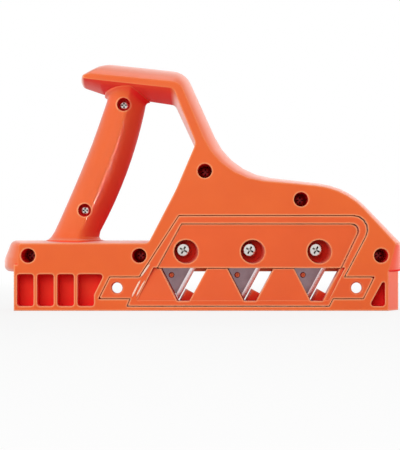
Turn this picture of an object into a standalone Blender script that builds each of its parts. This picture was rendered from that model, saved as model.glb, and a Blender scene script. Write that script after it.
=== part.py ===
"""Drywall edge plane: two moulded shells with a D handle and a fence, and a clamped block of three blades.

Sizes are in millimetres. +X runs to the nose, +Z is up and -Y is the side that carries the blades.
The fence stands on z = 0, the shells meet at y = 0 and the overall length is centred on x = 0.
"""

import math

import bmesh
import bpy
from mathutils import Matrix, Vector

MM = 0.001

# Clearances
GAP = 0.3
SEAT_GAP = 0.5
HOLE_GAP = 0.35
THROUGH = 1.0

# Body: its length is the tail, the cutter block's foot and the nose; heights are counted from the sole
TAIL_LENGTH = 83.1
BLOCK_LENGTH = 129.0
NOSE_LENGTH = 49.5
BODY_DEPTH = 44.0
BASE_HEIGHT = 20.3
HANDLE_HEIGHT = 138.2
NOSE_HEIGHT = 18.0
SHOULDER_INSET = 37.0
SHOULDER_RISE = 20.1
SHOULDER_RADIUS = 48.0
THROAT_REACH = 66.1
THROAT_RISE = 8.8
THROAT_RADIUS = 46.0
CROWN_REACH = 36.2
CROWN_RADIUS = 14.0
HORN_BACK = 31.9
BAR_HEIGHT = 22.3
BAR_SLOPE = 0.108
OPENING_TOP_REACH = 29.4
OPENING_NECK_REACH = 42.8
OPENING_NECK_HEIGHT = 80.5
OPENING_WAIST_REACH = 30.9
OPENING_WAIST_HEIGHT = 52.3
OPENING_WAIST_RADIUS = 70.0
OPENING_FOOT_REACH = 14.3
BASE_TOP_SETBACK = 5.0
TAIL_RADIUS = 4.5
TAIL_UPRIGHT = 8.0
TAIL_SWELL_RADIUS = 10.0
NOSE_RADIUS = 2.5
FOOT_RADIUS = 4.0
NECK_RADIUS = 7.0
OPENING_TOP_RADIUS = 4.0
BAR_ROOT_RADIUS = 10.0
HORN_LENGTH = 14.0
HORN_CHIN = 11.2
HORN_SLOPE = 15.0
HORN_RISE = 2.0
HORN_CHIN_RADIUS = 5.0
HORN_TIP_RADIUS = 4.0

# How far the near and far faces lie inside the parting outline
TAIL_ROUND = 13.6
NOSE_PROW = 11.6
NOSE_TOP_PROW = 6.7
WEB_BEVEL = 4.0
RIDGE_BEVEL = 7.5
BAR_TOP_BEVEL = 11.2
BAR_UNDER_BEVEL = 8.3
HORN_BEVEL = 3.3
HORN_FACE_STEP = 2.0
HORN_FACE_RADIUS = 1.2
NECK_BEVEL = 2.0
BASE_BEVEL = 2.2
FACE_RADIUS = 2.0
BEVEL_POWER = 1.4
BEVEL_LAYER_SHARES = (0.0, 0.36, 0.6, 0.78, 0.91, 1.0)

# Hollow of the far shell, its screw bosses and ribs
SHELL_WALL = 3.2
BOSS_WALL = 2.6
RIB_THICKNESS = 2.4

# Grip, from the base top to the underside of the bar
GRIP_FOOT_BACK = 38.0
GRIP_LEAN = 35.9
GRIP_BOW = 11.5
GRIP_FOOT_WIDTH = 29.5
GRIP_HEAD_WIDTH = 24.9
GRIP_BELLY = 3.2
GRIP_HALF_DEPTH = 15.0
GRIP_CREST_SHARE = 0.16
GRIP_RIDGE_SHARE = 0.06
GRIP_FOOT_FILLET = 6.0
GRIP_HEAD_FILLET = 2.4
GRIP_HEAD_SPREAD = 9.0
GRIP_HEAD_RECESS = 1.6
GRIP_HEAD_TURN_SHARE = 0.72
GRIP_RINGS = 9
GRIP_SINK = 7.0

# Fence and its core pockets
FENCE_HEIGHT = 25.0
FENCE_THICKNESS = 14.0
FENCE_TAIL_INSET = 10.3
FENCE_PROW = 8.4
FENCE_RISE = 4.5
POCKET_DEPTH = 10.0
POCKET_FLOOR_Z = 2.9
POCKET_TOP_Z = 23.5
POCKET_RIB = 2.2
POCKET_EDGE = 2.0
POCKET_RADIUS = 1.8
POCKET_COUNT = 3
EAR_POCKET_RIB = 4.6
EAR_POCKET_KNEE = 7.5
EAR_POCKET_SHARE = 1.0
NOSE_POCKET_RIB = 6.3
NOSE_POCKET_SLOPE = 0.55

# Cutter block and its ears
BLOCK_BOTTOM_Z = 3.1
BLOCK_HEAD_RIM = 1.2
BLOCK_HEAD_REACH = 33.0
BLOCK_TAPER = 2.9
BLOCK_CORNER_RADIUS = 9.0
BLOCK_SMALL_RADIUS = 0.9
EAR_BOTTOM_Z = 7.9
EAR_TOP_Z = 21.4
EAR_THICKNESS = 4.0
EAR_LENGTH = 19.0
EAR_LEAN = 0.5
EAR_HOLE = 6.9
EAR_HOLE_RIM = 8.3
EAR_RIM_DEPTH = 0.7
EAR_BACK_HOLE = 9.6
EAR_HOLE_REACH = 11.6
RELIEF_RADIUS = 0.4
KNEE_REACH = 7.7

# Blades: long edge, width, thickness, point angle and how they sit
BLADE_COUNT = 3
BLADE_LENGTH = 60.0
BLADE_WIDTH = 19.0
BLADE_THICKNESS = 0.63
BLADE_POINT = 56.0
BLADE_GRIND = 3.2
BLADE_LAND = 0.06
BLADE_LEAN = 28.4
BLADE_TILT = 14.0
FIRST_TIP_INSET = 32.0
LAST_TIP_INSET = 11.6
BLADE_TIP_Z = 6.7
EDGE_PROUD = 0.4
HOLE_LINE = 12.0
CLAMP_LINE = 14.2
HOLE_PITCH_SHARE = 0.3
END_HOLE = 3.8
PEG_HEIGHT = 0.8
PEG_ROOT = 1.0
PEG_CHAMFER = 0.3
TUCK_STEP = 0.1

# Openings in front of the blades
BAND_TOP_Z = 27.2
BAND_TOP_DEPTH = 2.0
BAND_FOOT_DEPTH = 0.2
BAND_LEFT_RIM = 4.8
BAND_RIGHT_RIM = 2.6
CHUTE_WIDTH = 6.9
CHUTE_START = 8.5
DECK_DEPTH = 9.2

# Clamp plate
PLATE_TOP_RIM = 5.4
PLATE_FOOT_LEFT_RIM = 8.0
PLATE_FOOT_RIGHT_RIM = 4.7
PLATE_HEAD_LEFT_RIM = 5.3
PLATE_HEAD_RIGHT_RIM = 6.0
PLATE_FOOT_RADIUS = 0.6
PLATE_RADIUS = 4.5
PLATE_SET_BACK = 0.9

# Clamp screws, their washers and the brass inserts
CLAMP_SHANK = 4.0
CLAMP_HEAD = 9.2
CLAMP_HEAD_HEIGHT = 2.9
CLAMP_RECESS = 15.2
RECESS_SHIFT = 1.3
CLAMP_FLOOR = 1.6
WASHER_OUTER = 7.6
WASHER_THICKNESS = 1.0
INSERT_OUTER = 7.2
INSERT_LENGTH = 4.7
INSERT_SINK = 1.3
SCREW_END = 0.8
SCREW_POINT = 0.6

# Case screws and grip screws
CASE_BORE = 9.3
CASE_HEAD = 7.6
CASE_HEAD_HEIGHT = 3.0
CASE_HEAD_DEPTH = 14.0
CASE_SHANK = 4.0
CASE_REACH = 13.0
CASE_TAIL_INSET = 19.4
CASE_NOSE_INSET = 16.1
CASE_BASE_RISE = 10.3
CASE_OPENING_INSET = 6.9
CASE_THROAT_INSET = 16.7
CASE_WEB_INSET = 67.4
CASE_WEB_DROP = 13.0
GRIP_BORE = 8.6
GRIP_HEAD = 6.2
GRIP_HEAD_HEIGHT = 2.4
GRIP_HEAD_DEPTH = 4.2
GRIP_SHANK = 3.2
GRIP_REACH = 16.0
GRIP_UPPER_SHARE = 0.95
GRIP_LOWER_SHARE = 0.21
HEAD_DOME_SHARES = ((1.0, 0.55), (0.84, 0.86), (0.56, 1.0))
CROSS_WIDTH = 1.1
CROSS_SPAN_SHARE = 0.56
CROSS_DEPTH = 1.3

ARC_STEPS = 5
ROUND_STEPS = 20

# Places worked out from the sizes above
HALF_DEPTH = BODY_DEPTH / 2
NEAR_Y = -HALF_DEPTH
GUIDE_Y = NEAR_Y + FENCE_THICKNESS
DECK_Y = NEAR_Y + DECK_DEPTH
SOLE_Z = FENCE_HEIGHT
BASE_TOP_Z = SOLE_Z + BASE_HEIGHT
NOSE_X = (TAIL_LENGTH + BLOCK_LENGTH + NOSE_LENGTH) / 2
TAIL_X = -NOSE_X
BLOCK_FOOT_X = TAIL_X + TAIL_LENGTH
BLOCK_HEAD_X = BLOCK_FOOT_X + BLOCK_HEAD_REACH
KNEE_X = BLOCK_FOOT_X + KNEE_REACH
SHOULDER_X = NOSE_X - SHOULDER_INSET
THROAT_X = BLOCK_FOOT_X + THROAT_REACH
CROWN_X = BLOCK_FOOT_X + CROWN_REACH
HORN_X = BLOCK_FOOT_X - HORN_BACK
GRIP_FOOT_X = BLOCK_FOOT_X - GRIP_FOOT_BACK
OPENING_TOP_X = BLOCK_FOOT_X + OPENING_TOP_REACH
OPENING_NECK_X = BLOCK_FOOT_X + OPENING_NECK_REACH
OPENING_WAIST_X = BLOCK_FOOT_X + OPENING_WAIST_REACH
OPENING_FOOT_X = BLOCK_FOOT_X + OPENING_FOOT_REACH
CASE_WEB_X = NOSE_X - CASE_WEB_INSET
FENCE_TAIL_X = TAIL_X + FENCE_TAIL_INSET
FENCE_NOSE_X = NOSE_X - NOSE_PROW
LEAN = math.radians(BLADE_LEAN)
BLOCK_TOP_Z = BLADE_TIP_Z + BLADE_LENGTH * math.cos(LEAN) + BLOCK_HEAD_RIM
BLOCK_HEIGHT = BLOCK_TOP_Z - BLOCK_BOTTOM_Z
PLATE_TOP_Z = BLOCK_TOP_Z - PLATE_TOP_RIM
SHOULDER_Z = BLOCK_TOP_Z + SHOULDER_RISE
THROAT_Z = SHOULDER_Z + THROAT_RISE
BLADE_TIP_X = BLOCK_FOOT_X + FIRST_TIP_INSET
BLADE_PITCH = (BLOCK_LENGTH - FIRST_TIP_INSET - LAST_TIP_INSET) / (BLADE_COUNT - 1)
HOLE_PITCH = BLADE_LENGTH * HOLE_PITCH_SHARE
EDGE_Y = GUIDE_Y + EDGE_PROUD
TILT = math.radians(BLADE_TILT)
EDGE_SLOPE = math.tan(LEAN)
ALONG = Vector((math.sin(LEAN), 0, math.cos(LEAN)))
ACROSS = Vector((-math.cos(LEAN) * math.cos(TILT), -math.sin(TILT), math.sin(LEAN) * math.cos(TILT)))
OUTWARD = ALONG.cross(ACROSS)
BED = BLADE_THICKNESS / 2 + GAP
HOLE_STATION = BLADE_LENGTH / 2
CLAMP_SEAT = BED + CLAMP_FLOOR
CLAMP_Y = EDGE_Y + CLAMP_LINE * ACROSS.y
INSERT_TOP = (EDGE_Y + GAP - CLAMP_Y) / OUTWARD.y - INSERT_SINK


def bar_top(x):
    """Height of the handle bar's top edge at x."""
    return SOLE_Z + HANDLE_HEIGHT - BAR_SLOPE * (x - HORN_X)


def bar_under(x):
    """Height of the handle bar's lower edge at x."""
    return bar_top(x) - BAR_HEIGHT


def web_top(x):
    """Height of the web's top edge between throat and shoulder."""
    share = (x - THROAT_X) / (SHOULDER_X - THROAT_X)
    return THROAT_Z + share * (SHOULDER_Z - THROAT_Z)


def body_corners(blend):
    """Corners (x, z, radius) of the open C outline, from the parting plane at 0 to the face at 1."""
    sole, base = SOLE_Z, BASE_TOP_Z
    nose_top = sole + NOSE_HEIGHT
    shoulder, throat = SHOULDER_Z, THROAT_Z
    crown, crown_face = bar_top(CROWN_X), bar_top(CROWN_X) - BAR_TOP_BEVEL * 0.85
    horn_root = HORN_X + HORN_LENGTH
    horn_top, horn_under = bar_top(HORN_X), bar_under(HORN_X) + HORN_RISE
    root_under = bar_under(horn_root) + HORN_RISE
    opening_top = bar_under(OPENING_TOP_X)
    neck, waist = sole + OPENING_NECK_HEIGHT, sole + OPENING_WAIST_HEIGHT
    chin = horn_top - HORN_CHIN
    chin_face = chin - HORN_FACE_STEP / 2
    tail_face, swell = TAIL_X + TAIL_ROUND, sole + TAIL_UPRIGHT
    pairs = [
        ((TAIL_X, sole, TAIL_RADIUS), (tail_face, sole, FACE_RADIUS)),
        ((NOSE_X, sole, FACE_RADIUS), (NOSE_X - NOSE_PROW, sole, FACE_RADIUS)),
        ((NOSE_X, nose_top, NOSE_RADIUS), (NOSE_X - NOSE_TOP_PROW, nose_top, FACE_RADIUS)),
        ((SHOULDER_X, shoulder, SHOULDER_RADIUS),
         (SHOULDER_X - WEB_BEVEL * 0.6, shoulder - WEB_BEVEL * 0.6, SHOULDER_RADIUS)),
        ((THROAT_X, throat, THROAT_RADIUS),
         (THROAT_X - RIDGE_BEVEL * 0.9, throat - WEB_BEVEL, THROAT_RADIUS)),
        ((CROWN_X, crown, CROWN_RADIUS), (CROWN_X - RIDGE_BEVEL * 0.35, crown_face, CROWN_RADIUS * 0.6)),
        ((HORN_X + HORN_SLOPE, bar_top(HORN_X + HORN_SLOPE), CROWN_RADIUS),
         (HORN_X + HORN_LENGTH / 2, horn_top - BAR_TOP_BEVEL, CROWN_RADIUS / 2)),
        ((HORN_X, chin, HORN_CHIN_RADIUS), (HORN_X + HORN_BEVEL, chin_face, HORN_FACE_RADIUS)),
        ((HORN_X, horn_under + HORN_BEVEL, HORN_TIP_RADIUS),
         (HORN_X + HORN_BEVEL, chin_face - HORN_FACE_STEP, HORN_FACE_RADIUS)),
        ((horn_root, root_under, BAR_ROOT_RADIUS),
         (horn_root, root_under + BAR_UNDER_BEVEL - HORN_RISE, BAR_ROOT_RADIUS)),
        ((OPENING_TOP_X, opening_top, OPENING_TOP_RADIUS),
         (OPENING_TOP_X, opening_top + BAR_UNDER_BEVEL, OPENING_TOP_RADIUS)),
        ((OPENING_NECK_X, neck, NECK_RADIUS),
         (OPENING_NECK_X + NECK_BEVEL / 2, neck + NECK_BEVEL, NECK_RADIUS)),
        ((OPENING_WAIST_X, waist, OPENING_WAIST_RADIUS), (OPENING_WAIST_X, waist, OPENING_WAIST_RADIUS)),
        ((OPENING_FOOT_X, base, FOOT_RADIUS),
         (OPENING_FOOT_X - BASE_BEVEL / 2, base - BASE_BEVEL, FOOT_RADIUS)),
        ((TAIL_X + BASE_TOP_SETBACK, base, TAIL_RADIUS), (tail_face, base - BASE_BEVEL, FACE_RADIUS)),
        ((TAIL_X, swell, TAIL_SWELL_RADIUS), (tail_face - HORN_FACE_STEP / 4, swell, TAIL_SWELL_RADIUS)),
    ]
    return [tuple(a + (b - a) * blend for a, b in zip(inner, outer)) for inner, outer in pairs]


def rounded(corners, steps=ARC_STEPS):
    """Closed outline through the corners, each replaced by a tangent arc of its radius."""
    points = []
    count = len(corners)
    for i, (x, z, radius) in enumerate(corners):
        here = Vector((x, z))
        before = Vector(corners[i - 1][:2]) - here
        after = Vector(corners[(i + 1) % count][:2]) - here
        turn = before.angle(after)
        reach = min(radius / math.tan(turn / 2), 0.48 * before.length, 0.48 * after.length)
        start = here + before.normalized() * reach
        end = here + after.normalized() * reach
        middle = (before.normalized() + after.normalized()).normalized()
        centre = here + middle * (reach / math.cos(turn / 2))
        sweep = (start - centre).angle_signed(end - centre)
        for k in range(steps + 1):
            spoke = Matrix.Rotation(-sweep * k / steps, 2) @ (start - centre)
            points.append(tuple(centre + spoke))
    return points


def offset(corners, distance):
    """Corners moved so that every edge of a counterclockwise outline lies that much further out."""
    moved = []
    count = len(corners)
    for i, (x, z, radius) in enumerate(corners):
        here = Vector((x, z))
        arrive = (here - Vector(corners[i - 1][:2])).normalized()
        leave = (Vector(corners[(i + 1) % count][:2]) - here).normalized()
        outward = Vector((arrive.y + leave.y, -arrive.x - leave.x)).normalized()
        bend = outward.dot(Vector((leave.y, -leave.x)))
        place = here + outward * (distance / bend)
        moved.append((place.x, place.y, radius))
    return moved


def sharp(corners):
    """The same corners as plain points, without radii."""
    return [corner[:2] for corner in corners]


def link(name, mesh):
    """New object for a mesh, in the scene."""
    piece = bpy.data.objects.new(name, mesh)
    bpy.context.scene.collection.objects.link(piece)
    return piece


def finish_mesh(name, shape):
    """Object from a closed bmesh, faces pointing out."""
    bmesh.ops.recalc_face_normals(shape, faces=shape.faces)
    mesh = bpy.data.meshes.new(name)
    shape.to_mesh(mesh)
    shape.free()
    return link(name, mesh)


def loft(name, loops, closed=False):
    """Solid through rings of points in millimetres, capped at both ends or closed on itself."""
    shape = bmesh.new()
    rings = [[shape.verts.new(Vector(point) * MM) for point in loop] for loop in loops]
    pairs = list(zip(rings, rings[1:]))
    if closed:
        pairs.append((rings[-1], rings[0]))
    walls = []
    for first, second in pairs:
        for i in range(len(first)):
            j = (i + 1) % len(first)
            walls.append(shape.faces.new((first[i], first[j], second[j], second[i])))
    bmesh.ops.triangulate(shape, faces=walls)
    if not closed:
        shape.faces.new(rings[0])
        shape.faces.new(rings[-1])
    return finish_mesh(name, shape)


def prism(name, outline, near, far, along=None):
    """Outline in x and z on the near face, swept from y near to y far, straight or along a direction."""
    loops = []
    for y in (near, far):
        drift = along * ((y - NEAR_Y) / along.y) if along else Vector((0, 0, 0))
        loops.append([(x + drift.x, y, z + drift.z) for x, z in outline])
    return loft(name, loops)


def slab(name, outline, low, high):
    """Outline in local x and y, extruded from low to high along local z."""
    return loft(name, [[(x, y, level) for x, y in outline] for level in (low, high)])


def turned(name, profile, hollow=False):
    """Solid of revolution about local z through (radius, height) points."""
    loops = []
    for radius, height in profile:
        angles = [2 * math.pi * (k + 0.5) / ROUND_STEPS for k in range(ROUND_STEPS)]
        loops.append([(radius * math.cos(a), radius * math.sin(a), height) for a in angles])
    return loft(name, loops, closed=hollow)


def combine(target, tool, operation):
    """Boolean the tool into the target and remove the tool."""
    modifier = target.modifiers.new(tool.name, "BOOLEAN")
    modifier.operation = operation
    modifier.solver = "EXACT"
    modifier.object = tool
    bpy.context.view_layer.update()
    graph = bpy.context.evaluated_depsgraph_get()
    result = bpy.data.meshes.new_from_object(target.evaluated_get(graph))
    target.modifiers.clear()
    target.data = result
    bpy.data.objects.remove(tool)


def cut(target, tool):
    """Take the tool out of the target."""
    combine(target, tool, "DIFFERENCE")


def place(piece, frame, x=0.0, y=0.0, z=0.0):
    """Set a piece at a point of a frame, with the frame's axes."""
    piece.location = frame @ (Vector((x, y, z)) * MM)
    piece.rotation_euler = frame.to_euler()
    return piece


def axis_frame(x, z):
    """Frame on the line through x and z that runs straight out of the near face."""
    out = Matrix.Rotation(math.radians(90), 4, "X")
    return Matrix.Translation(Vector((x, 0, z)) * MM) @ out


def blade_frame(index):
    """Frame of one blade: x along its edge from the tip, y across it, z out of its near side."""
    axes = Matrix((ALONG, ACROSS, OUTWARD)).transposed().to_4x4()
    tip = Vector((BLADE_TIP_X + index * BLADE_PITCH, EDGE_Y, BLADE_TIP_Z))
    return Matrix.Translation(tip * MM) @ axes


def paint(piece, colour, roughness, metallic=0.0):
    """Give a piece its own plain material."""
    finish = bpy.data.materials.new(piece.name + "_finish")
    finish.use_nodes = True
    shader = finish.node_tree.nodes["Principled BSDF"]
    shader.inputs["Base Color"].default_value = (*colour, 1.0)
    shader.inputs["Roughness"].default_value = roughness
    shader.inputs["Metallic"].default_value = metallic
    piece.data.materials.clear()
    piece.data.materials.append(finish)
    return piece


def paint_plastic(piece):
    """Orange moulded plastic."""
    return paint(piece, (0.80, 0.13, 0.035), 0.35)


def paint_steel(piece):
    """Plated steel of the screws."""
    return paint(piece, (0.62, 0.60, 0.58), 0.28, 1.0)


def round_smooth(piece):
    """Smooth shading with sharp edges kept."""
    piece.data.shade_smooth()
    piece.data.set_sharp_from_angle(angle=math.radians(35))
    return piece


def grip_section():
    """Half section of the grip: share of the width from its middle, and share of the depth."""
    crown = GRIP_CREST_SHARE - GRIP_RIDGE_SHARE
    turns = [math.radians(15 * k) for k in range(7)]
    back = [(crown - (0.5 + crown) * math.cos(t), math.sin(t)) for t in turns]
    front = [(GRIP_CREST_SHARE, 0.97), (GRIP_CREST_SHARE + 2 * GRIP_RIDGE_SHARE, 0.76)]
    front += [(0.42, 0.4), (0.485, 0.14), (0.5, 0.0)]
    return back + front


def flare(distance, radius):
    """Extra width of a fillet at a distance above the face that it runs into."""
    rise = min(max(distance, 0.0), radius)
    return radius - math.sqrt(radius ** 2 - (radius - rise) ** 2)


def bevel_blend(layer):
    """Share of the bevels taken off at a share of the half depth."""
    return 1 - (1 - layer ** BEVEL_POWER) ** (1 / BEVEL_POWER)


def grip_middle(share):
    """Middle of the grip at a share of its height."""
    return GRIP_FOOT_X + GRIP_LEAN * share + GRIP_BOW * share * (1 - share)


def grip_height(share):
    """Height at a share of the way from the base to the bar."""
    head = bar_under(GRIP_FOOT_X + GRIP_LEAN)
    return BASE_TOP_Z + share * (head - BASE_TOP_Z)


def grip_half(side):
    """Half of the grip, sunk into the base and the bar, with fillets at both."""
    head_z = grip_height(1.0)
    foot_rises = (-GRIP_SINK, 0.0, 0.12 * GRIP_FOOT_FILLET, 0.4 * GRIP_FOOT_FILLET)
    head_drops = [share * GRIP_HEAD_SPREAD for share in (0.65, 0.4, 0.22, 0.08, 0.0)] + [-GRIP_SINK]
    first = BASE_TOP_Z + GRIP_FOOT_FILLET
    last = head_z - GRIP_HEAD_SPREAD
    levels = [BASE_TOP_Z + rise for rise in foot_rises]
    levels += [first + (last - first) * k / (GRIP_RINGS - 1) for k in range(GRIP_RINGS)]
    levels += [head_z - drop for drop in head_drops]
    loops = []
    for z in levels:
        share = min(max((z - BASE_TOP_Z) / (head_z - BASE_TOP_Z), 0.0), 1.0)
        width = GRIP_FOOT_WIDTH + (GRIP_HEAD_WIDTH - GRIP_FOOT_WIDTH) * share
        width += 4 * GRIP_BELLY * share * (1 - share)
        foot = flare(z - BASE_TOP_Z, GRIP_FOOT_FILLET)
        head = flare(head_z - z, GRIP_HEAD_FILLET)
        spread = flare(head_z - z, GRIP_HEAD_SPREAD) / GRIP_HEAD_SPREAD
        depth = GRIP_HALF_DEPTH + 0.6 * foot + spread * (HALF_DEPTH - GRIP_HEAD_RECESS - GRIP_HALF_DEPTH)
        middle = grip_middle(share) + foot / 4
        width += 1.5 * foot + 2 * head
        turn = max(share - GRIP_HEAD_TURN_SHARE, 0.0) / (1 - GRIP_HEAD_TURN_SHARE)
        loop = []
        for u, v in grip_section():
            x, y = middle + width * u, GAP / 2 + (depth - GAP / 2) * v
            seat = bar_under(x) + BAR_UNDER_BEVEL * bevel_blend(y / HALF_DEPTH)
            loop.append((x, side * y, z + turn * (seat - head_z)))
        loops.append(loop)
    return loft("grip", loops)


def body_half(name, side):
    """Half of the C shaped body with its grip; side is -1 for the near half and 1 for the far half."""
    loops = []
    for layer in BEVEL_LAYER_SHARES:
        y = side * (GAP / 2 + (HALF_DEPTH - GAP / 2) * layer)
        loops.append([(x, y, z) for x, z in rounded(body_corners(bevel_blend(layer)))])
    half = loft(name, loops)
    combine(half, grip_half(side), "UNION")
    return half


def block_left(z):
    """Left edge of the cutter block at a height: steeper below the ears' top than above it."""
    if z < EAR_TOP_Z:
        share = (z - BLOCK_BOTTOM_Z) / (EAR_TOP_Z - BLOCK_BOTTOM_Z)
        return BLOCK_FOOT_X + share * (KNEE_X - BLOCK_FOOT_X)
    share = (z - EAR_TOP_Z) / (BLOCK_TOP_Z - EAR_TOP_Z)
    return KNEE_X + share * (BLOCK_HEAD_X - KNEE_X)


def block_right(z):
    """Right edge of the cutter block at a height."""
    foot = BLOCK_FOOT_X + BLOCK_LENGTH
    head = BLOCK_HEAD_X + BLOCK_LENGTH - BLOCK_TAPER
    return foot + (z - BLOCK_BOTTOM_Z) / BLOCK_HEIGHT * (head - foot)


def block_corners(small_radius):
    """Outline of the cutter block without its ears."""
    return [
        (BLOCK_FOOT_X, BLOCK_BOTTOM_Z, small_radius),
        (block_right(BLOCK_BOTTOM_Z), BLOCK_BOTTOM_Z, small_radius),
        (block_right(BLOCK_TOP_Z), BLOCK_TOP_Z, BLOCK_CORNER_RADIUS),
        (BLOCK_HEAD_X, BLOCK_TOP_Z, small_radius),
        (KNEE_X, EAR_TOP_Z, small_radius),
    ]


def ear_corners(left, small_radius):
    """Outline of one ear, reaching into the block by its own thickness."""
    rise = EAR_TOP_Z - EAR_BOTTOM_Z
    if left:
        tip = block_left(EAR_TOP_Z) - EAR_LENGTH
        root = block_left(EAR_BOTTOM_Z) + EAR_THICKNESS
        return [
            (tip - EAR_LEAN * rise, EAR_BOTTOM_Z, small_radius),
            (root, EAR_BOTTOM_Z, small_radius),
            (root + EAR_LEAN * rise, EAR_TOP_Z, small_radius),
            (tip, EAR_TOP_Z, small_radius),
        ]
    tip = block_right(EAR_TOP_Z) + EAR_LENGTH
    root = block_right(EAR_BOTTOM_Z) - EAR_THICKNESS
    return [
        (root, EAR_BOTTOM_Z, small_radius),
        (tip - EAR_LEAN * rise, EAR_BOTTOM_Z, small_radius),
        (tip, EAR_TOP_Z, small_radius),
        (root + EAR_LEAN * rise, EAR_TOP_Z, small_radius),
    ]


def ear_hole_places():
    """Middles of the two ear holes."""
    z = (EAR_BOTTOM_Z + EAR_TOP_Z) / 2
    return [(block_left(z) - EAR_HOLE_REACH, z), (block_right(z) + EAR_HOLE_REACH, z)]


def case_screw_places():
    """The five case screws: along the base, at the throat and under the web's top."""
    base_z = SOLE_Z + CASE_BASE_RISE
    return [
        (TAIL_X + CASE_TAIL_INSET, base_z),
        (OPENING_FOOT_X - CASE_OPENING_INSET, base_z),
        (THROAT_X - CASE_THROAT_INSET, THROAT_Z),
        (CASE_WEB_X, web_top(CASE_WEB_X) - CASE_WEB_DROP),
        (NOSE_X - CASE_NOSE_INSET, base_z),
    ]


def grip_screw_places():
    """The upper and the lower grip screw."""
    return [(grip_middle(share), grip_height(share)) for share in (GRIP_UPPER_SHARE, GRIP_LOWER_SHARE)]


def screw_bore(head_y, head_height, bore, shank, reach):
    """Stepped cutter for a screw along y: counterbore from the near side, then the shank's hole."""
    seat = -(head_y + head_height + GAP)
    end = -(head_y + head_height + reach + GAP)
    wide = bore / 2
    narrow = shank / 2 + HOLE_GAP
    return turned("bore", [(narrow, end), (narrow, seat), (wide, seat), (wide, HALF_DEPTH + THROUGH)])


def core_pockets():
    """Outlines of the fence's core pockets: a row at the tail, one against the ear and one at the nose."""
    radius = POCKET_RADIUS
    low, high = POCKET_FLOOR_Z, POCKET_TOP_Z
    outlines = []
    ear_tip = ear_corners(True, 0.0)[3][0]
    knee_z = low + EAR_POCKET_KNEE
    knee_x = ear_tip - EAR_POCKET_RIB - EAR_LEAN * (EAR_TOP_Z - knee_z)
    head_x = knee_x + EAR_LEAN * (high - knee_z)
    left = FENCE_TAIL_X + POCKET_EDGE
    width = (knee_x - left - POCKET_COUNT * POCKET_RIB) / (POCKET_COUNT + EAR_POCKET_SHARE)
    for _ in range(POCKET_COUNT):
        right = left + width
        places = [(left, low), (right, low), (right, high), (left, high)]
        outlines.append([(x, z, radius) for x, z in places])
        left = right + POCKET_RIB
    outlines.append([
        (left, low, radius), (knee_x, low, radius), (knee_x, knee_z, radius),
        (head_x, high, radius), (left, high, radius),
    ])
    right = FENCE_NOSE_X - POCKET_EDGE
    left = ear_corners(False, 0.0)[2][0] - EAR_LEAN * (EAR_TOP_Z - low) + NOSE_POCKET_RIB
    top = low + (right - left - radius) / NOSE_POCKET_SLOPE
    places = [(left, low), (right, low), (right, top), (right - radius, top)]
    outlines.append([(x, z, radius) for x, z in places])
    return outlines


def near_shell():
    """Near half of the body with the fence, cored out and bored for what it carries."""
    shell = body_half("near_shell", -1)
    plan = [(FENCE_TAIL_X, NEAR_Y), (FENCE_NOSE_X, NEAR_Y),
            (FENCE_NOSE_X + FENCE_PROW, GUIDE_Y), (FENCE_TAIL_X, GUIDE_Y)]
    combine(shell, slab("fence", plan, 0.0, SOLE_Z + FENCE_RISE), "UNION")
    front = NEAR_Y - THROUGH
    seat = rounded(offset(block_corners(RELIEF_RADIUS), SEAT_GAP))
    cut(shell, prism("block_seat", seat, front, EDGE_Y + GAP))
    for left in (True, False):
        seat = rounded(offset(ear_corners(left, RELIEF_RADIUS), SEAT_GAP))
        cut(shell, prism("ear_seat", seat, front, NEAR_Y + EAR_THICKNESS + GAP))
    for x, z in ear_hole_places():
        radius = EAR_BACK_HOLE / 2
        hole = turned("ear_hole", [(radius, -GUIDE_Y - THROUGH), (radius, HALF_DEPTH + THROUGH)])
        cut(shell, place(hole, axis_frame(x, z)))
    for outline in core_pockets():
        cut(shell, prism("pocket", rounded(outline), front, NEAR_Y + POCKET_DEPTH))
    bore_screws(shell)
    for index in range(BLADE_COUNT):
        radius = INSERT_OUTER / 2 + GAP
        bore = turned("insert_seat", [(radius, INSERT_TOP - INSERT_LENGTH - GAP), (radius, 0.0)])
        cut(shell, place(bore, blade_frame(index), HOLE_STATION, CLAMP_LINE))
    return paint_plastic(shell)


def cavity():
    """Cutter for the far shell's hollow in base and web, leaving screw bosses and two ribs."""
    corners = body_corners(1.0)
    web = corners[:5] + corners[11:15]
    hollow = prism("cavity", rounded(offset(web, -SHELL_WALL)), -THROUGH, HALF_DEPTH - SHELL_WALL)
    radius = CASE_SHANK / 2 + HOLE_GAP + BOSS_WALL
    for x, z in case_screw_places():
        boss = turned("boss", [(radius, -BODY_DEPTH), (radius, BODY_DEPTH)])
        cut(hollow, place(boss, axis_frame(x, z)))
    for x in (THROAT_X, SHOULDER_X):
        left, right = x - RIB_THICKNESS / 2, x + RIB_THICKNESS / 2
        outline = [(left, 0), (right, 0), (right, THROAT_Z), (left, THROAT_Z)]
        cut(hollow, prism("rib", outline, -BODY_DEPTH, BODY_DEPTH))
    return hollow


def far_shell():
    """Far half of the body, hollow in base and web, with pilot holes for the screws."""
    shell = body_half("far_shell", 1)
    cut(shell, cavity())
    bore_screws(shell)
    return paint_plastic(shell)


def bore_screws(shell):
    """Cut the case and grip screws' bores into a shell."""
    for x, z in case_screw_places():
        bore = screw_bore(NEAR_Y + CASE_HEAD_DEPTH, CASE_HEAD_HEIGHT, CASE_BORE, CASE_SHANK, CASE_REACH)
        cut(shell, place(bore, axis_frame(x, z)))
    for x, z in grip_screw_places():
        head_y = GRIP_HEAD_DEPTH - GRIP_HALF_DEPTH
        bore = screw_bore(head_y, GRIP_HEAD_HEIGHT, GRIP_BORE, GRIP_SHANK, GRIP_REACH)
        cut(shell, place(bore, axis_frame(x, z)))


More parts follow.
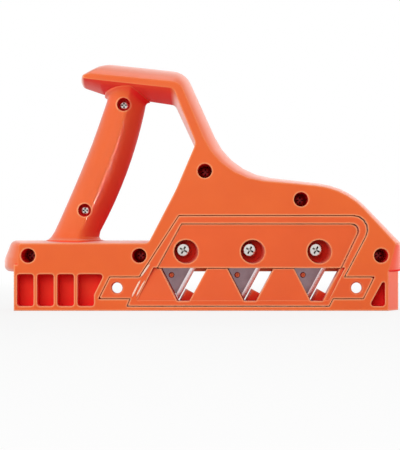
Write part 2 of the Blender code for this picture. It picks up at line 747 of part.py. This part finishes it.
def blade_corners():
    """Outline of a trapezoid blade: long edge on local x, point at the origin."""
    shift = BLADE_WIDTH / math.tan(math.radians(BLADE_POINT))
    back = BLADE_LENGTH - shift
    return [(0, 0, 0), (BLADE_LENGTH, 0, 0), (back, BLADE_WIDTH, 0), (shift, BLADE_WIDTH, 0)]


def blade_mesh():
    """Trapezoid blade with its edge ground from both sides, two end holes and the clamp screw's hole."""
    full = sharp(blade_corners())
    shift = BLADE_GRIND / math.tan(math.radians(BLADE_POINT))
    flat = [(shift, BLADE_GRIND), (BLADE_LENGTH - shift, BLADE_GRIND), full[2], full[3]]
    half, land = BLADE_THICKNESS / 2, BLADE_LAND / 2
    layers = [(flat, -half), (full, -land), (full, land), (flat, half)]
    blade = loft("blade", [[(x, y, level) for x, y in outline] for outline, level in layers])
    end, middle = END_HOLE / 2, CLAMP_SHANK / 2 + HOLE_GAP
    holes = [(-HOLE_PITCH, HOLE_LINE, end), (0.0, CLAMP_LINE, middle), (HOLE_PITCH, HOLE_LINE, end)]
    for step, line, radius in holes:
        hole = turned("hole", [(radius, -THROUGH), (radius, THROUGH)])
        cut(blade, place(hole, Matrix.Identity(4), HOLE_STATION + step, line))
    mesh = blade.data
    bpy.data.objects.remove(blade)
    return mesh


def mouth_outline(index):
    """Opening in front of one blade: the blade's end on the left, the chip chute's wall on the right."""
    end = ALONG * math.cos(math.radians(BLADE_POINT)) + ACROSS * math.sin(math.radians(BLADE_POINT))
    tip = BLADE_TIP_X + index * BLADE_PITCH
    feet, heads = [], []
    for z, row in ((BLADE_TIP_Z - SEAT_GAP, feet), (BAND_TOP_Z + SEAT_GAP, heads)):
        rise = z - BLADE_TIP_Z
        row.append((tip + rise * end.x / end.z - SEAT_GAP, z))
        row.append((tip + rise * EDGE_SLOPE + CHUTE_WIDTH / math.cos(LEAN), z))
    return [feet[0], feet[1], heads[1], heads[0]]


def chute_outline(index):
    """Way through the deck beside one cutting edge, square to the edge at its lower end."""
    tip = Vector((BLADE_TIP_X + index * BLADE_PITCH, BLADE_TIP_Z))
    along = Vector((math.sin(LEAN), math.cos(LEAN)))
    aside = Vector((math.cos(LEAN), -math.sin(LEAN)))
    outline = []
    for station, reach in ((CHUTE_START, 0), (CHUTE_START, 1), (BLADE_LENGTH, 1), (BLADE_LENGTH, 0)):
        outline.append(tuple(tip + along * station + aside * reach * (CHUTE_WIDTH + THROUGH)))
    return outline


def plate_corners():
    """Outline of the clamp plate on the near face."""
    foot, head = BAND_TOP_Z, PLATE_TOP_Z
    return [
        (block_left(foot) + PLATE_FOOT_LEFT_RIM, foot, PLATE_FOOT_RADIUS),
        (block_right(foot) - PLATE_FOOT_RIGHT_RIM, foot, PLATE_FOOT_RADIUS),
        (block_right(head) - PLATE_HEAD_RIGHT_RIM, head, PLATE_RADIUS),
        (block_left(head) + PLATE_HEAD_LEFT_RIM, head, PLATE_FOOT_RADIUS),
    ]


def plate_region(grow, near, far):
    """Prism of the clamp plate's outline along the screws."""
    return prism("region", rounded(offset(plate_corners(), grow)), near, far, OUTWARD)


def stepped_deck(level, grow, floor):
    """Slab from y level inwards, with a tilted well in the outline of each blade."""
    left, right = block_left(BLOCK_BOTTOM_Z) - THROUGH, block_right(BLOCK_TOP_Z) + THROUGH
    low, high = BLOCK_BOTTOM_Z - THROUGH, BLOCK_TOP_Z + THROUGH
    outline = [(left, low), (right, low), (right, high), (left, high)]
    deck = prism("deck", outline, level, GUIDE_Y + FENCE_THICKNESS)
    well = sharp(offset(blade_corners(), grow))
    for index in range(BLADE_COUNT):
        cut(deck, place(slab("well", well, floor, BODY_DEPTH), blade_frame(index)))
    return deck


def cutter_block():
    """Block that carries the blades, with its plate pocket, mouths, chutes, tilted beds, pegs and ears."""
    block = prism("cutter_block", rounded(block_corners(BLOCK_SMALL_RADIUS)), NEAR_Y, GUIDE_Y)
    for left in (True, False):
        outline = rounded(ear_corners(left, BLOCK_SMALL_RADIUS))
        combine(block, prism("ear", outline, NEAR_Y, NEAR_Y + EAR_THICKNESS), "UNION")
    for x, z in ear_hole_places():
        hole, rim = EAR_HOLE / 2, EAR_HOLE_RIM / 2
        back = -NEAR_Y - EAR_THICKNESS - THROUGH
        profile = [(hole, back), (hole, -NEAR_Y - EAR_RIM_DEPTH), (rim, -NEAR_Y), (rim, -NEAR_Y + THROUGH)]
        cut(block, place(turned("ear_hole", profile), axis_frame(x, z)))
    front, deep = NEAR_Y - THROUGH, GUIDE_Y + FENCE_THICKNESS / 2
    cut(block, sloping_band(front))
    hollow = plate_region(SEAT_GAP, front, deep)
    deck = stepped_deck(DECK_Y, SEAT_GAP, -BED)
    for index in range(BLADE_COUNT):
        combine(hollow, prism("mouth", mouth_outline(index), front, deep), "UNION")
        cut(deck, prism("chute", chute_outline(index), DECK_Y - THROUGH, BODY_DEPTH))
    cut(hollow, deck)
    cut(block, hollow)
    tuck_outline = sharp(offset(blade_corners(), SEAT_GAP - TUCK_STEP))
    for index in range(BLADE_COUNT):
        frame = blade_frame(index)
        cut(block, place(slab("tuck", tuck_outline, TUCK_STEP - BED, BED), frame))
        hole = CLAMP_SHANK / 2 + HOLE_GAP
        bore = turned("bore", [(hole, -FENCE_THICKNESS), (hole, FENCE_THICKNESS)])
        cut(block, place(bore, frame, HOLE_STATION, CLAMP_LINE))
        peg = END_HOLE / 2 - HOLE_GAP
        tip = BLADE_THICKNESS / 2 + PEG_HEIGHT
        pin = turned("peg", [(peg, -BED - PEG_ROOT), (peg, tip - PEG_CHAMFER), (peg - PEG_CHAMFER, tip)])
        combine(block, place(pin, frame, HOLE_STATION - HOLE_PITCH, HOLE_LINE), "UNION")
    return paint_plastic(block)


def sloping_band(front):
    """Cutter for the band below the clamp plate, deeper under the plate than at its foot."""
    low, high = BLADE_TIP_Z, BAND_TOP_Z + SEAT_GAP
    drop = (high - low) * EAR_LEAN
    loops = []
    for top_x in (block_left(high) + BAND_LEFT_RIM, block_right(high) - BAND_RIGHT_RIM):
        foot_x = top_x - drop
        loops.append([(foot_x, front, low), (foot_x, NEAR_Y + BAND_FOOT_DEPTH, low),
                      (top_x, NEAR_Y + BAND_TOP_DEPTH, high), (top_x, front, high)])
    return loft("band", loops)


def clamp_plate():
    """Plate that clamps the blades: three tilted pads behind it and three tilted screw recesses."""
    plate = plate_region(0.0, NEAR_Y + PLATE_SET_BACK, GUIDE_Y + FENCE_THICKNESS / 2)
    plate.name = "clamp_plate"
    cut(plate, stepped_deck(DECK_Y - GAP, -GAP, BED))
    for index in range(BLADE_COUNT):
        hole, wide = CLAMP_SHANK / 2 + HOLE_GAP, CLAMP_RECESS / 2
        frame = blade_frame(index)
        recess = turned("recess", [(wide, CLAMP_SEAT), (wide, BODY_DEPTH)])
        cut(plate, place(recess, frame, HOLE_STATION, CLAMP_LINE - RECESS_SHIFT))
        bore = turned("bore", [(hole, -THROUGH), (hole, CLAMP_SEAT + THROUGH)])
        cut(plate, place(bore, frame, HOLE_STATION, CLAMP_LINE))
    return paint_plastic(plate)


def screw_mesh(head, head_height, shank, reach):
    """Pan head screw with a cross recess; its head's underside is at local z = 0."""
    profile = [(shank / 2 - SCREW_POINT, -reach), (shank / 2, SCREW_POINT - reach), (shank / 2, 0.0)]
    profile += [(head / 2, 0.0)]
    profile += [(share * head / 2, rise * head_height) for share, rise in HEAD_DOME_SHARES]
    screw = turned("screw", profile)
    span, half = head * CROSS_SPAN_SHARE / 2, CROSS_WIDTH / 2
    cross = [(half, half), (half, span), (-half, span), (-half, half), (-span, half), (-span, -half),
             (-half, -half), (-half, -span), (half, -span), (half, -half), (span, -half), (span, half)]
    cut(screw, slab("cross", cross, head_height - CROSS_DEPTH, head_height + THROUGH))
    mesh = round_smooth(screw).data
    bpy.data.objects.remove(screw)
    return mesh


def ring_mesh(outer, inner, length):
    """Plain ring from local z = 0 upwards."""
    profile = [(inner / 2, 0.0), (outer / 2, 0.0), (outer / 2, length), (inner / 2, length)]
    ring = turned("ring", profile, hollow=True)
    mesh = round_smooth(ring).data
    bpy.data.objects.remove(ring)
    return mesh


def clamp_set():
    """The blades, and each one's screw, washer and insert, on the screws' axes."""
    blade = blade_mesh()
    head_seat = CLAMP_SEAT + WASHER_THICKNESS + 2 * GAP
    reach = head_seat - INSERT_TOP + INSERT_LENGTH - SCREW_END
    screw = screw_mesh(CLAMP_HEAD, CLAMP_HEAD_HEIGHT, CLAMP_SHANK, reach)
    bore = CLAMP_SHANK + 2 * HOLE_GAP
    washer = ring_mesh(WASHER_OUTER, bore, WASHER_THICKNESS)
    insert = ring_mesh(INSERT_OUTER, bore, INSERT_LENGTH)
    for index in range(BLADE_COUNT):
        frame = blade_frame(index)
        number = str(index + 1)
        paint(place(link("blade_" + number, blade.copy()), frame), (0.42, 0.40, 0.42), 0.32, 1.0)
        stations = [("clamp_screw_", screw, head_seat), ("clamp_washer_", washer, CLAMP_SEAT + GAP)]
        for name, mesh, height in stations:
            piece = link(name + number, mesh.copy())
            paint_steel(place(piece, frame, HOLE_STATION, CLAMP_LINE, height))
        piece = link("clamp_insert_" + number, insert.copy())
        place(piece, frame, HOLE_STATION, CLAMP_LINE, INSERT_TOP - INSERT_LENGTH)
        paint(piece, (0.70, 0.48, 0.16), 0.35, 1.0)


def shell_screws():
    """The case screws and grip screws that hold the two shells together."""
    case = screw_mesh(CASE_HEAD, CASE_HEAD_HEIGHT, CASE_SHANK, CASE_REACH)
    for number, (x, z) in enumerate(case_screw_places(), 1):
        piece = link("case_screw_" + str(number), case.copy())
        paint_steel(place(piece, axis_frame(x, z), z=-(NEAR_Y + CASE_HEAD_DEPTH + CASE_HEAD_HEIGHT)))
    grip = screw_mesh(GRIP_HEAD, GRIP_HEAD_HEIGHT, GRIP_SHANK, GRIP_REACH)
    for name, (x, z) in zip(("upper", "lower"), grip_screw_places()):
        piece = link("grip_screw_" + name, grip.copy())
        paint_steel(place(piece, axis_frame(x, z), z=GRIP_HALF_DEPTH - GRIP_HEAD_DEPTH - GRIP_HEAD_HEIGHT))


def main():
    """Build the whole plane in an empty scene."""
    for old in list(bpy.data.objects):
        bpy.data.objects.remove(old)
    near_shell()
    far_shell()
    cutter_block()
    clamp_plate()
    clamp_set()
    shell_screws()


main()
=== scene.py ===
"""Looks of the drywall edge plane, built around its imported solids. Lengths are in metres."""
import math

import bpy
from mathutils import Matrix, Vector


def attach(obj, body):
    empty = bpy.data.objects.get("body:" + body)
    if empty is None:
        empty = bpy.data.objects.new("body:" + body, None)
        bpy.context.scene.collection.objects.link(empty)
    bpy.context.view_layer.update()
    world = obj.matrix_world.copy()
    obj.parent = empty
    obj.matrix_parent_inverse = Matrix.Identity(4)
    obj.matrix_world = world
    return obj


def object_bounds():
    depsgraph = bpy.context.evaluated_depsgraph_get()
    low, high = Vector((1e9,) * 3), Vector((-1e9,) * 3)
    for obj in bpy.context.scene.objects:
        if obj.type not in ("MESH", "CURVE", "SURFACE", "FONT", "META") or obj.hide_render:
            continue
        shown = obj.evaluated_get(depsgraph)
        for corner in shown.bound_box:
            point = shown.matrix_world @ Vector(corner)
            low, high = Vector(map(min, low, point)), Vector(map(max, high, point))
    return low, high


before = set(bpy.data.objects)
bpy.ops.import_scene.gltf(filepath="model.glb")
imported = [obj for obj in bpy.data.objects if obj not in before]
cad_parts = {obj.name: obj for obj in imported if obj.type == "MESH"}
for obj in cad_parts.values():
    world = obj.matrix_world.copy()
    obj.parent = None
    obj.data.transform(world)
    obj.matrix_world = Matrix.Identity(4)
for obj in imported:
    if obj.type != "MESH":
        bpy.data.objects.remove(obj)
CAD_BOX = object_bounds()
scene = bpy.context.scene
scene.view_settings.view_transform = "Standard"

# Frame of the blades: they lean along the body and tilt out of its face
BLADE_LEAN, BLADE_TILT = math.radians(28.4), math.radians(14.0)
BLADE_TIP, BLADE_PITCH = Vector((-0.0157, -0.0076, 0.0067)), 0.0427
EDGE_WAY = Vector((math.sin(BLADE_LEAN), 0, math.cos(BLADE_LEAN)))
WIDTH_WAY = Vector((-math.cos(BLADE_LEAN) * math.cos(BLADE_TILT), -math.sin(BLADE_TILT),
                    math.sin(BLADE_LEAN) * math.cos(BLADE_TILT)))
BEVEL_END = (0.0031, 0.0033)  # distance from the cutting edge where the ground bevel fades out
ROLLED_SCALE, GROUND_SCALE = (60, 5200, 1), (6500, 300, 1)  # of the lines along and across

# Plastic
SHADE_WAY = Vector((0.5, 0, -0.87))  # painted shade: surfaces that face this way are painted red
RECESS_REACH = 0.014  # painted shade: walls within this distance paint a recess red
RIM_REACH, RIM_SHARE = 0.0013, 0.8  # width and strength of the painted highlight rims on convex edges
PARTING_CLEAR = (0.0013, 0.002)  # distance from the parting plane over which the rims fade in
PLASTIC_EDGE = 0.0009  # radius of the edges in the shading
PLASTIC_ROUGHNESS = 0.34
PLASTIC_IOR = 1.48

# Screws and inserts
CROSS_REACH = 0.0012  # painted shade: walls within this distance darken a cross recess
SCREW_EDGE = 0.00025  # radius of the edges in the shading

# Smooth shading
WELD_REACH = 2e-6
SMOOTH_ANGLE, FLAT_ANGLE = math.radians(32), math.radians(0.4)
FLAT_WEIGHT = 90

# Ribs on the rail that carry the painted highlight strips
RIB_HEIGHT, RIB_SINK = 0.0005, 0.0001
RIB_SIDES, RIB_RINGS = 10, 9
RIB_TAPER = 4  # one over the share of the length that each end tapers along
RIB_END = 0.2  # size of the ends as a share of the full section

# Stage
FLOOR_REACH, FLOOR_DROP = 30, 0.0002
WHITE_FADE = (0.15, 0.8)  # distance over which the floor turns fully white
NEAR_WHITE = 0.84  # share of white near the part, where the shadow shows
WORLD_LEVEL = 0.3
CREST_SPREAD, CREST_ROLL = math.radians(3), math.radians(-20)


# Shader helpers
def new_material(name):
    """New material; returns it with its node tree and its Principled shader."""
    made = bpy.data.materials.new(name)
    made.use_nodes = True
    return made, made.node_tree, made.node_tree.nodes["Principled BSDF"]


def node(tree, kind, links=(), **settings):
    """Add a node, set its properties and link (socket, source socket or value) pairs."""
    added = tree.nodes.new("ShaderNode" + kind)
    for key, value in settings.items():
        setattr(added, key, value)
    for socket, source in links:
        if isinstance(source, bpy.types.NodeSocket):
            tree.links.new(source, added.inputs[socket])
        else:
            added.inputs[socket].default_value = source
    return added


def noise(tree, coords, scale, detail=2.0):
    """Noise texture's value at a scale."""
    links = [("Vector", coords), ("Scale", scale), ("Detail", detail)]
    return node(tree, "TexNoise", links).outputs["Fac"]


def ramp(tree, value, start, end, low=0.0, high=1.0):
    """Value that goes from low to high as another goes from start to end."""
    links = [("Value", value), ("From Min", start), ("From Max", end),
             ("To Min", low), ("To Max", high)]
    return node(tree, "MapRange", links).outputs["Result"]


def spread(tree, value, low, high):
    """Map a noise value to a range."""
    return ramp(tree, value, 0.3, 0.7, low, high)


def maths(tree, operation, *values):
    """Result of a maths node."""
    return node(tree, "Math", enumerate(values), operation=operation).outputs[0]


def dot(tree, first, second):
    """Dot product of two vectors."""
    links = [(0, first), (1, second)]
    return node(tree, "VectorMath", links, operation="DOT_PRODUCT").outputs["Value"]


def mix_colour(tree, factor, first, second):
    """Blend two colours."""
    links = [(0, factor), (6, first), (7, second)]
    return node(tree, "Mix", links, data_type="RGBA").outputs[2]


def mix_value(tree, factor, first, second):
    """Blend two values."""
    return node(tree, "Mix", [(0, factor), (2, first), (3, second)]).outputs[0]


def mix_shader(tree, factor, first, second):
    """Blend two shaders."""
    links = [(0, factor), (1, first.outputs[0]), (2, second.outputs[0])]
    return node(tree, "MixShader", links).outputs[0]


def openness(tree, reach, inside=False):
    """Share of rays that meet none of the piece's own walls, above or inside its surface."""
    return node(tree, "AmbientOcclusion", [("Distance", reach)], samples=8, inside=inside,
                only_local=True).outputs["AO"]


def rounded(tree, radius, samples):
    """Normal that rounds the edges in the shading."""
    return node(tree, "Bevel", [("Radius", radius)], samples=samples).outputs["Normal"]


def bump(tree, shader, height, strength, distance, normal=None):
    """Drive the shader's normal by a height, on top of another normal if one is given."""
    links = [("Strength", strength), ("Distance", distance), ("Height", height)]
    if normal is not None:
        links.append(("Normal", normal))
    bumped = node(tree, "Bump", links).outputs["Normal"]
    tree.links.new(bumped, shader.inputs["Normal"])


# Materials
def plastic(name, colour, deep, red, rim_highlight_colour=(0.93, 0.38, 0.17)):
    """Glossy moulded plastic: colour drift, painted highlight rims on convex edges, painted red
    shade in recesses and on undersides, grain.
    """
    made, tree, shader = new_material(name)
    coords = node(tree, "TexCoord").outputs["Object"]
    drift = spread(tree, noise(tree, coords, 28.0, 3.0), 0.0, 1.0)
    skin = mix_colour(tree, drift, (*colour, 1), (*deep, 1))

    # Painted shade: red in recesses and on undersides
    recess_shade = ramp(tree, openness(tree, RECESS_REACH), 0.9, 0.35)
    normal = node(tree, "NewGeometry").outputs["Normal"]
    underside_shade = ramp(tree, dot(tree, normal, SHADE_WAY), 0.25, 0.8)
    shade = maths(tree, "MAXIMUM", recess_shade, underside_shade)

    # Painted highlight: pale rims on convex edges, but not along the parting line
    rim_highlight = ramp(tree, openness(tree, RIM_REACH, inside=True), 0.95, 0.6, 0.0, RIM_SHARE)
    across = node(tree, "SeparateXYZ", [("Vector", coords)]).outputs["Y"]
    unparted = ramp(tree, maths(tree, "ABSOLUTE", across), *PARTING_CLEAR)
    skin = mix_colour(tree, maths(tree, "MULTIPLY", rim_highlight, unparted), skin, (*rim_highlight_colour, 1))
    tree.links.new(mix_colour(tree, shade, skin, (*red, 1)), shader.inputs["Base Color"])

    haze = noise(tree, coords, 240.0)
    rough = spread(tree, haze, PLASTIC_ROUGHNESS - 0.03, PLASTIC_ROUGHNESS + 0.05)
    tree.links.new(rough, shader.inputs["Roughness"])
    grain = noise(tree, coords, 1400.0)
    bump(tree, shader, grain, 0.03, 0.0001, rounded(tree, PLASTIC_EDGE, 8))

    # Gloss, and a pale sheen at glancing angles, both gone where the painted shade turns the
    # plastic red
    gleam = ramp(tree, shade, 0.0, 1.0, 0.4, 0.0)
    tree.links.new(gleam, shader.inputs["Specular IOR Level"])
    tree.links.new(gleam, shader.inputs["Sheen Weight"])
    shader.inputs["IOR"].default_value = PLASTIC_IOR
    return made


def plated(name, colour, dull=0.0):
    """Metal of the screws and inserts: fine spots, a slight haze, painted shade in the cross
    recess.
    """
    made, tree, shader = new_material(name)
    coords = node(tree, "TexCoord").outputs["Object"]
    spots = noise(tree, coords, 900.0, 3.0)
    tint = (colour[0] * 0.7, colour[1] * 0.69, colour[2] * 0.67, 1)
    skin = mix_colour(tree, spread(tree, spots, 0.0, 0.6), (*colour, 1), tint)
    dark = ramp(tree, openness(tree, CROSS_REACH), 0.95, 0.5)
    cross_shade_colour = (colour[0] * 0.05, colour[1] * 0.035, colour[2] * 0.03, 1)
    tree.links.new(mix_colour(tree, dark, skin, cross_shade_colour), shader.inputs["Base Color"])
    rough = spread(tree, noise(tree, coords, 1500.0), 0.16 + dull, 0.3 + dull)
    tree.links.new(rough, shader.inputs["Roughness"])
    bump(tree, shader, spots, 0.12, 0.0001, rounded(tree, SCREW_EDGE, 4))
    shader.inputs["Metallic"].default_value = 1.0
    return made


def blade_steel(index):
    """Rolled strip steel with a bright ground bevel and grinding lines across it."""
    made, tree, shader = new_material("blade_steel_" + str(index + 1))
    coords = node(tree, "TexCoord").outputs["Object"]
    tip = BLADE_TIP + Vector((BLADE_PITCH * index, 0, 0))
    away = node(tree, "VectorMath", [(0, coords), (1, tip)], operation="SUBTRACT").outputs[0]
    along, across = dot(tree, away, EDGE_WAY), dot(tree, away, WIDTH_WAY)
    strip = node(tree, "CombineXYZ", [("X", along), ("Y", across)]).outputs[0]
    rolled = node(tree, "Mapping", [("Vector", strip), ("Scale", ROLLED_SCALE)]).outputs[0]
    ground = node(tree, "Mapping", [("Vector", strip), ("Scale", GROUND_SCALE)]).outputs[0]
    bevel = ramp(tree, across, *BEVEL_END, 1.0, 0.0)
    strip_lines, ground_lines = noise(tree, rolled, 1.0, 3.0), noise(tree, ground, 1.0)
    cloud = spread(tree, noise(tree, coords, 160.0, 3.0), 0.0, 1.0)
    body = mix_colour(tree, cloud, (0.30, 0.205, 0.225, 1), (0.24, 0.16, 0.178, 1))
    skin = mix_colour(tree, bevel, body, (0.86, 0.82, 0.86, 1))
    tree.links.new(skin, shader.inputs["Base Color"])
    rough = mix_value(tree, bevel, spread(tree, strip_lines, 0.26, 0.4),
                      spread(tree, ground_lines, 0.16, 0.3))
    tree.links.new(rough, shader.inputs["Roughness"])
    bump(tree, shader, mix_value(tree, bevel, strip_lines, ground_lines), 0.1, 0.00005)
    shader.inputs["Metallic"].default_value = 1.0
    return made


# Red of the painted shade in recesses and on undersides
RED, DEEP_RED = (0.86, 0.026, 0.024), (0.6, 0.022, 0.014)
ORANGE = plastic("orange_plastic", (0.80, 0.124, 0.013), (0.76, 0.106, 0.011), RED)
BLOCK = plastic("block_plastic", (0.80, 0.108, 0.014), (0.75, 0.094, 0.011), DEEP_RED)
# Painted highlight: the pale plastic of the rail ribs
PALE = plastic("rib_highlight_plastic", (0.93, 0.58, 0.42), (0.9, 0.48, 0.33), RED, (0.94, 0.64, 0.48))
STEEL = plated("plated_steel", (0.78, 0.76, 0.73))
# Case screws: dark steel, tinted red as painted shade and red bounce light of their deep
# counterbores
DARK = plated("dark_steel", (0.36, 0.04, 0.045), 0.15)
BRASS = plated("brass", (0.78, 0.55, 0.22))


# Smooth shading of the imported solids
def smooth_group():
    """Geometry nodes that weld a solid and shade it smooth except at edges over a set angle."""
    tree = bpy.data.node_groups.new("smooth_by_angle", "GeometryNodeTree")
    tree.interface.new_socket("Geometry", in_out="INPUT", socket_type="NodeSocketGeometry")
    tree.interface.new_socket("Geometry", in_out="OUTPUT", socket_type="NodeSocketGeometry")
    start, end = tree.nodes.new("NodeGroupInput"), tree.nodes.new("NodeGroupOutput")
    plain = tree.nodes.new("GeometryNodeRemoveAttribute")
    plain.inputs["Name"].default_value = "custom_normal"
    weld = tree.nodes.new("GeometryNodeMergeByDistance")
    weld.inputs["Distance"].default_value = WELD_REACH
    faces = tree.nodes.new("GeometryNodeSetShadeSmooth")
    faces.domain = "FACE"
    edges = tree.nodes.new("GeometryNodeSetShadeSmooth")
    edges.domain = "EDGE"
    angle = tree.nodes.new("GeometryNodeInputMeshEdgeAngle")
    small = tree.nodes.new("FunctionNodeCompare")
    small.operation = "LESS_THAN"
    small.inputs[1].default_value = SMOOTH_ANGLE
    links = tree.links
    links.new(start.outputs[0], plain.inputs["Geometry"])
    links.new(plain.outputs["Geometry"], weld.inputs["Geometry"])
    links.new(weld.outputs["Geometry"], faces.inputs["Geometry"])
    links.new(faces.outputs["Geometry"], edges.inputs["Geometry"])
    links.new(angle.outputs["Unsigned Angle"], small.inputs[0])
    links.new(small.outputs["Result"], edges.inputs["Shade Smooth"])
    links.new(edges.outputs["Geometry"], end.inputs[0])
    return tree


SMOOTH = smooth_group()


def dress(name, finish):
    """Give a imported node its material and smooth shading."""
    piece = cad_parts[name]
    piece.data.materials.clear()
    piece.data.materials.append(finish)
    shade = piece.modifiers.new("smooth", "NODES")
    shade.node_group = SMOOTH
    flat = piece.modifiers.new("flat", "DECIMATE")
    flat.decimate_type = "DISSOLVE"
    flat.angle_limit = FLAT_ANGLE
    flat.delimit = {"SHARP"}
    weight = piece.modifiers.new("weight", "WEIGHTED_NORMAL")
    weight.keep_sharp = True
    weight.weight = FLAT_WEIGHT


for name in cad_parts:
    finish = STEEL
    if name in ("near_shell", "far_shell"):
        finish = ORANGE
    elif name in ("cutter_block", "clamp_plate"):
        finish = BLOCK
    elif name.startswith("blade"):
        finish = blade_steel(int(name[-1]) - 1)
    elif name.startswith("case_screw"):
        finish = DARK
    elif name.startswith("clamp_insert"):
        finish = BRASS
    dress(name, finish)


# Fine pale ribs on the cutter block's left rail: their pale colour is a painted highlight along
# the rail's edges
def rib(name, low, high, width=0.0015):
    """Half round rib with tapered ends between two points (x, z) on the near face."""
    mesh = bpy.data.meshes.new(name)
    face = CAD_BOX[0][1]
    run = Vector((high[0] - low[0], 0, high[1] - low[1]))
    aside = run.cross(Vector((0, 1, 0))).normalized()
    points, faces = [], []
    for ring in range(RIB_RINGS + 1):
        share = ring / RIB_RINGS
        taper = min(1.0, RIB_TAPER * share, RIB_TAPER * (1 - share)) ** 0.5
        full = taper * (1 - RIB_END) + RIB_END
        middle = Vector((low[0], face, low[1])) + run * share
        for step in range(RIB_SIDES):
            turn = 2 * math.pi * step / RIB_SIDES
            above, below = max(math.sin(turn), 0), min(math.sin(turn), 0)
            out = RIB_SINK - RIB_HEIGHT * full * above - RIB_SINK * full * below
            sideways = aside * (width / 2 * full * math.cos(turn))
            points.append(middle + sideways + Vector((0, out, 0)))
    for ring in range(RIB_RINGS):
        for step in range(RIB_SIDES):
            a, b = ring * RIB_SIDES + step, ring * RIB_SIDES + (step + 1) % RIB_SIDES
            faces.append((a, a + RIB_SIDES, b + RIB_SIDES, b))
    last = RIB_RINGS * RIB_SIDES
    faces += [tuple(range(RIB_SIDES)), tuple(reversed(range(last, last + RIB_SIDES)))]
    mesh.from_pydata(points, [], faces)
    mesh.validate()
    mesh.shade_smooth()
    mesh.materials.append(PALE)
    made = bpy.data.objects.new(name, mesh)
    scene.collection.objects.link(made)
    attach(made, "body")


rib("rail_rib_upper", (-0.0392, 0.0216), (-0.0334, 0.0300))
rib("rail_rib_lower", (-0.0450, 0.0086), (-0.0395, 0.0196))
rib("rail_rib_inner", (-0.0421, 0.0090), (-0.0365, 0.0196), 0.0012)


# Stage
def stage_material():
    """Pale floor that shows white to the camera and to reflections and keeps a soft shadow."""
    made, tree, shader = new_material("floor")
    tree.nodes.remove(shader)
    path = node(tree, "LightPath").outputs
    seen = maths(tree, "MAXIMUM", path["Is Camera Ray"], path["Is Glossy Ray"])
    place = node(tree, "NewGeometry").outputs["Position"]
    away = node(tree, "VectorMath", [(0, place)], operation="LENGTH").outputs["Value"]
    share = maths(tree, "MULTIPLY", seen, ramp(tree, away, *WHITE_FADE, NEAR_WHITE))
    matt = node(tree, "BsdfDiffuse", [("Color", (0.62, 0.61, 0.6, 1))])
    white = node(tree, "Emission", [("Color", (1, 1, 1, 1)), ("Strength", 1.0)])
    tree.links.new(mix_shader(tree, share, matt, white),
                   tree.nodes["Material Output"].inputs["Surface"])
    return made


corners = [(x * FLOOR_REACH, y * FLOOR_REACH, 0) for x, y in ((-1, -1), (1, -1), (1, 1), (-1, 1))]
floor_mesh = bpy.data.meshes.new("floor")
floor_mesh.from_pydata(corners, [], [(0, 1, 2, 3)])
floor_mesh.materials.append(stage_material())
floor = bpy.data.objects.new("floor", floor_mesh)
floor.location.z = -FLOOR_DROP
scene.collection.objects.link(floor)

# World: white to the camera and to reflections, a plain level of light for the rest
world = bpy.data.worlds.new("studio")
scene.world = world
world.use_nodes = True
tree = world.node_tree
path = node(tree, "LightPath").outputs
seen = maths(tree, "MAXIMUM", path["Is Camera Ray"], path["Is Transmission Ray"])
seen = maths(tree, "MAXIMUM", seen, path["Is Glossy Ray"])
white = node(tree, "Background", [("Color", (1, 1, 1, 1)), ("Strength", 1.0)])
light = node(tree, "Background", [("Color", (1, 1, 1, 1)), ("Strength", WORLD_LEVEL)])
tree.links.new(mix_shader(tree, seen, light, white), tree.nodes["World Output"].inputs["Surface"])


def lamp(name, place, target, width, height, power):
    """Rectangular lamp aimed at a point and hidden from the camera."""
    data = bpy.data.lights.new(name, "AREA")
    data.shape = "RECTANGLE"
    data.size, data.size_y, data.energy = width, height, power
    made = bpy.data.objects.new(name, data)
    made.location = place
    made.rotation_euler = (Vector(target) - Vector(place)).to_track_quat("-Z", "Y").to_euler()
    made.visible_camera = False
    scene.collection.objects.link(made)
    return made


lamp("top", (-0.05, 0.05, 0.8), (0, 0, 0.08), 0.4, 0.28, 1.0).data.color = (0.9, 0.95, 1.0)
lamp("front", (-0.4, -1.1, 0.5), (0, 0, 0.07), 1.0, 0.7, 9.0).visible_glossy = False
lamp("left", (-0.85, -0.35, 0.2), (0, 0, 0.08), 0.6, 0.5, 2.1).visible_glossy = False
lamp("right", (0.9, -0.1, 0.25), (0, 0, 0.06), 0.25, 0.4, 4.2).visible_glossy = False
lamp("tail_edge", (-0.6, 0.9, 0.06), (0, 0, 0.05), 0.3, 0.1, 0.2)
lamp("nose_edge", (0.6, 0.9, 0.06), (0, 0, 0.05), 0.3, 0.1, 0.3)
lamp("back", (0.4, 1.0, 0.6), (0, 0, 0.07), 0.7, 0.5, 6.0).visible_glossy = False

# Narrow beam at the grip's crest: it draws the highlight there and gives no diffuse light
crest = lamp("crest", (0.029, -0.1473, 0.0556), (-0.0592, -0.0148, 0.0865), 0.016, 0.07, 0.0036)
crest.data.spread = CREST_SPREAD
crest.rotation_euler.rotate_axis("Z", CREST_ROLL)
crest.visible_diffuse = False

# Camera: level, square to the near face, shifted to the photograph's framing
camera = bpy.data.objects.new("camera", bpy.data.cameras.new("camera"))
camera.location = (0.0211, -0.742, 0.0357)
camera.rotation_euler = (math.radians(90), 0, 0)
camera.data.lens = 90
camera.data.sensor_width = 36
camera.data.shift_x = -0.0778
camera.data.shift_y = 0.0667
camera.data.clip_start = 0.01
scene.collection.objects.link(camera)
scene.camera = camera
